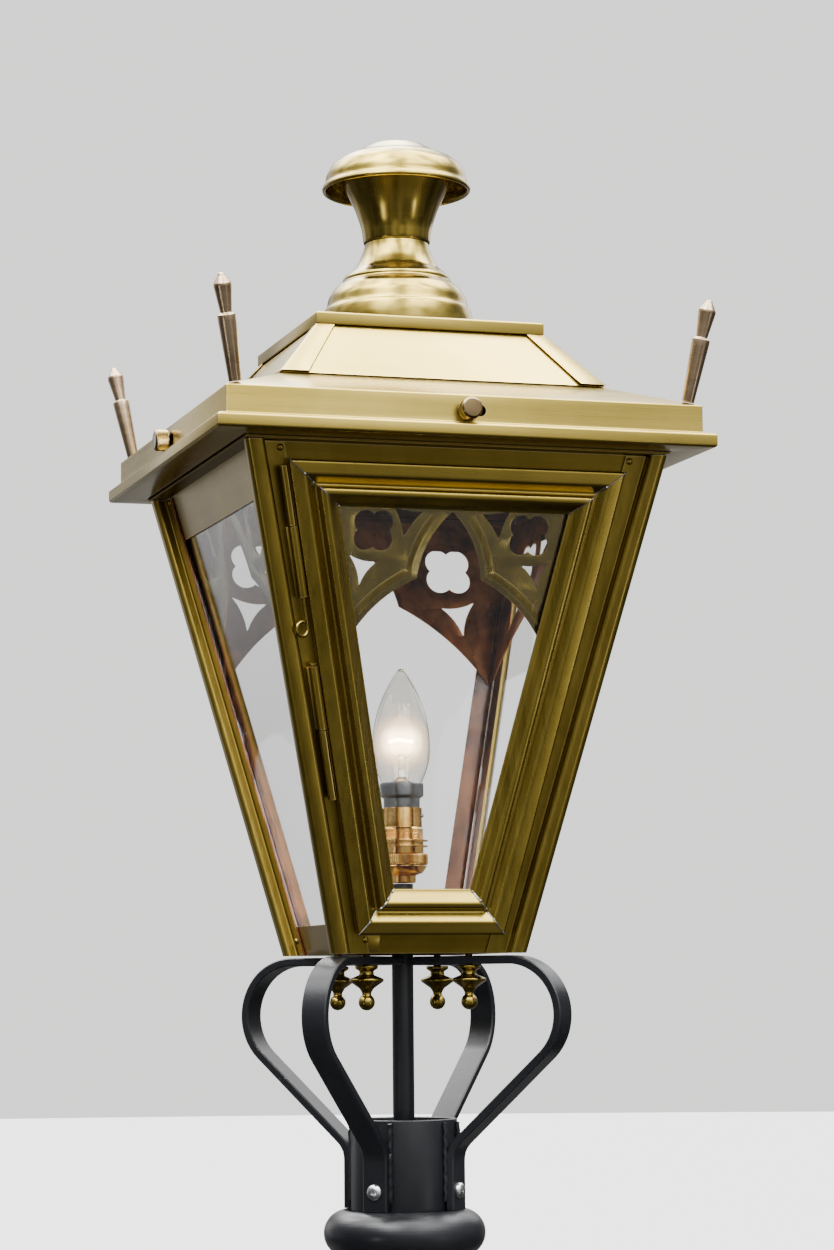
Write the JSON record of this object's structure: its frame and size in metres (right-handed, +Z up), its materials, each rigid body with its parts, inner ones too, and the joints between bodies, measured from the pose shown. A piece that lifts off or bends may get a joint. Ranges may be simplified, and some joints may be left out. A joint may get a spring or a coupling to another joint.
{
  "type": "street lamp post",
  "caption": "Lamp post with a square tapered glass lantern on a strap cradle, opening door, lift-off roof and bayonet bulb.",
  "frame": {"origin": "centre of the round base plate's underside, on the ground", "axes": "+Z up the post, -Y out of the lantern's door, +X to the right of someone facing the door"},
  "size_m": [0.3058, 0.3058, 2.0016],
  "materials": {
    "base_flange": "satin black powder coat",
    "base_column": "satin black powder coat",
    "post_shaft": "satin black powder coat",
    "post_head": "satin black powder coat",
    "cradle_collar": "satin black powder coat",
    "cradle_arm_front_left": "satin black powder coat",
    "cradle_arm_front_right": "satin black powder coat",
    "cradle_arm_back_right": "satin black powder coat",
    "cradle_arm_back_left": "satin black powder coat",
    "drop_nut_front_left": "antique brass, brushed",
    "drop_nut_front_right": "antique brass, brushed",
    "drop_nut_back_right": "antique brass, brushed",
    "drop_nut_back_left": "antique brass, brushed",
    "lamp_tube": "satin black powder coat",
    "holder_base": "polished and lacquered",
    "holder_ring": "polished and lacquered",
    "holder_shell": "polished and lacquered",
    "base_plate": "antique brass, brushed",
    "bottom_frame": "antique brass, brushed",
    "top_frame": "antique brass, brushed",
    "corner_post_front_left": "antique brass, brushed",
    "corner_post_front_right": "antique brass, brushed",
    "corner_post_back_right": "antique brass, brushed",
    "corner_post_back_left": "antique brass, brushed",
    "glass_pane_right": "clear",
    "glass_pane_back": "clear",
    "glass_pane_left": "clear",
    "fret_right": "antique brass, brushed",
    "fret_back": "antique brass, brushed",
    "fret_left": "antique brass, brushed",
    "hinge_pin_lower": "antique brass, brushed",
    "door_stile_left": "antique brass, brushed",
    "door_stile_right": "antique brass, brushed",
    "door_rail_top": "antique brass, brushed",
    "door_rail_bottom": "antique brass, brushed",
    "door_pane": "clear",
    "door_fret": "antique brass, brushed",
    "hinge_pin_upper": "antique brass, brushed",
    "eaves_tray": "antique brass, brushed",
    "roof_shell": "antique brass, brushed",
    "roof_tray": "antique brass, brushed",
    "cowl_base": "antique brass, brushed",
    "cowl_trumpet": "antique brass, brushed",
    "cowl_cap": "antique brass, brushed",
    "hip_strip_front_left": "antique brass, brushed",
    "hip_strip_front_right": "antique brass, brushed",
    "hip_strip_back_right": "antique brass, brushed",
    "hip_strip_back_left": "antique brass, brushed",
    "corner_spike_front_left": "antique brass, brushed",
    "corner_spike_front_right": "antique brass, brushed",
    "corner_spike_back_right": "antique brass, brushed",
    "corner_spike_back_left": "antique brass, brushed",
    "thumbscrew_front": "antique brass, brushed",
    "thumbscrew_right": "antique brass, brushed",
    "thumbscrew_back": "antique brass, brushed",
    "thumbscrew_left": "antique brass, brushed",
    "holder_plungers": "moulded insulator",
    "bulb_cap": "dull grey",
    "bulb_glass": "clear blown glass"
  },
  "bodies": {
    "post": {"base_flange": "base_flange", "base_column": "base_column", "post_shaft": "post_shaft", "post_head": "post_head", "cradle_collar": "cradle_collar", "cradle_arm_front_left": "cradle_arm_front_left", "cradle_arm_front_right": "cradle_arm_front_right", "cradle_arm_back_right": "cradle_arm_back_right", "cradle_arm_back_left": "cradle_arm_back_left", "drop_nut_front_left": "drop_nut_front_left", "drop_nut_front_right": "drop_nut_front_right", "drop_nut_back_right": "drop_nut_back_right", "drop_nut_back_left": "drop_nut_back_left", "lamp_tube": "lamp_tube", "holder_base": "holder_base", "holder_ring": "holder_ring", "holder_shell": "holder_shell", "base_plate": "base_plate", "bottom_frame": "bottom_frame", "top_frame": "top_frame", "corner_post_front_left": "corner_post_front_left", "corner_post_front_right": "corner_post_front_right", "corner_post_back_right": "corner_post_back_right", "corner_post_back_left": "corner_post_back_left", "glass_pane_right": "glass_pane_right", "glass_pane_back": "glass_pane_back", "glass_pane_left": "glass_pane_left", "fret_right": "fret_right", "fret_back": "fret_back", "fret_left": "fret_left", "hinge_pin_lower": "hinge_pin_lower"},
    "door": {"door_stile_left": "door_stile_left", "door_stile_right": "door_stile_right", "door_rail_top": "door_rail_top", "door_rail_bottom": "door_rail_bottom", "door_pane": "door_pane", "door_fret": "door_fret"},
    "hinge_pin": {"hinge_pin_upper": "hinge_pin_upper"},
    "roof": {"eaves_tray": "eaves_tray", "roof_shell": "roof_shell", "roof_tray": "roof_tray", "cowl_base": "cowl_base", "cowl_trumpet": "cowl_trumpet", "cowl_cap": "cowl_cap", "hip_strip_front_left": "hip_strip_front_left", "hip_strip_front_right": "hip_strip_front_right", "hip_strip_back_right": "hip_strip_back_right", "hip_strip_back_left": "hip_strip_back_left", "corner_spike_front_left": "corner_spike_front_left", "corner_spike_front_right": "corner_spike_front_right", "corner_spike_back_right": "corner_spike_back_right", "corner_spike_back_left": "corner_spike_back_left"},
    "thumbscrew_front": {"thumbscrew_front": "thumbscrew_front"},
    "thumbscrew_right": {"thumbscrew_right": "thumbscrew_right"},
    "thumbscrew_back": {"thumbscrew_back": "thumbscrew_back"},
    "thumbscrew_left": {"thumbscrew_left": "thumbscrew_left"},
    "lamp_contacts": {"holder_plungers": "holder_plungers"},
    "bulb": {"bulb_cap": "bulb_cap", "bulb_glass": "bulb_glass"}
  },
  "joints": [
    {"name": "door_swing", "type": "hinge", "parent": "post", "child": "door", "pos_m": [-0.06718, -0.08095, 1.6], "axis": [0.2034, 0.2235, -0.9532], "range_deg": [0, 105]},
    {"name": "hinge_pin_draw", "type": "slide", "parent": "post", "child": "hinge_pin", "axis": [0.2034, 0.2235, -0.9532], "range_m": [0, 0.01]},
    {"name": "roof_lift", "type": "slide", "parent": "post", "child": "roof", "axis": [0, 0, 1], "range_m": [0, 0.12]},
    {"name": "thumbscrew_front_turn", "type": "hinge", "parent": "roof", "child": "thumbscrew_front", "pos_m": [-0.0012, -0.1435, 1.8087], "axis": [0, -1, 0], "continuous": true},
    {"name": "thumbscrew_right_turn", "type": "hinge", "parent": "roof", "child": "thumbscrew_right", "pos_m": [0.1435, -0.0012, 1.8087], "axis": [1, 0, 0], "continuous": true},
    {"name": "thumbscrew_back_turn", "type": "hinge", "parent": "roof", "child": "thumbscrew_back", "pos_m": [0.0012, 0.1435, 1.8087], "axis": [0, 1, 0], "continuous": true},
    {"name": "thumbscrew_left_turn", "type": "hinge", "parent": "roof", "child": "thumbscrew_left", "pos_m": [-0.1435, 0.0012, 1.8087], "axis": [-1, 0, 0], "continuous": true},
    {"name": "bulb_push", "type": "slide", "parent": "post", "child": "lamp_contacts", "axis": [0, 0, -1], "range_m": [0, 0.003], "stiffness_N_per_m": 2000, "springref_m": -0.002},
    {"name": "bulb_twist", "type": "hinge", "parent": "lamp_contacts", "child": "bulb", "pos_m": [0, 0, 1.58], "axis": [0, 0, 1], "range_deg": [0, 18]}
  ]
}
